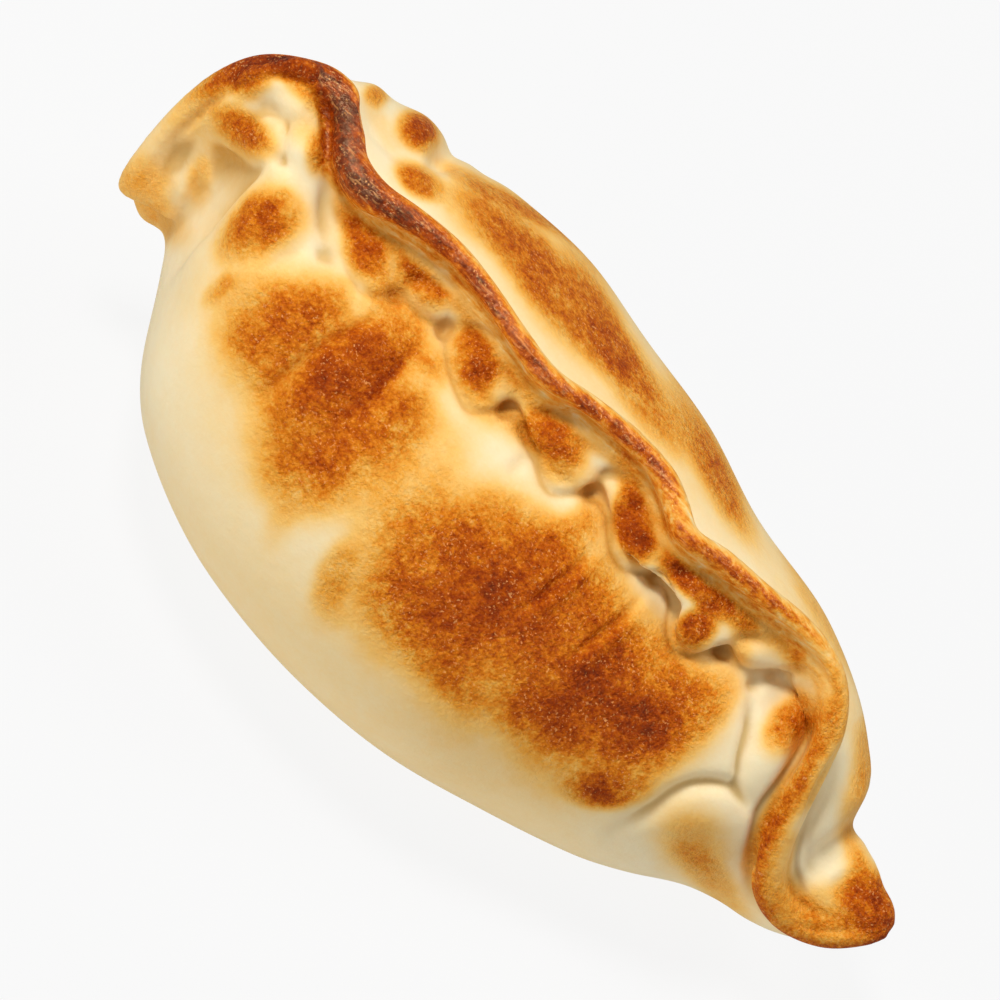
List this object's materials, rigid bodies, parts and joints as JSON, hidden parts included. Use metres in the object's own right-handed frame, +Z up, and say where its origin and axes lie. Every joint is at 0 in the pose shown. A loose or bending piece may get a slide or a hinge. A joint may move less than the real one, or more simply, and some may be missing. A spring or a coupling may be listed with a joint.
{
  "type": "empanada",
  "caption": "Baked turnover with a plump rounded belly, a rolled and crimped seam standing along its crest, a flap folded over the wide end and a curled point at the narrow end.",
  "frame": {"origin": "centre of the bounding box at the height of the table it rests on", "axes": "+X from the flap at the wide end to the curled point at the narrow end, +Y from the crimped side to the plain side, +Z up"},
  "size_m": [0.12, 0.0608, 0.0504],
  "materials": {
    "crust": "baked dough, cream below and browned on its raised parts, with a faint sheen"
  },
  "bodies": {
    "root": {"empanada": "crust"}
  },
  "joints": []
}
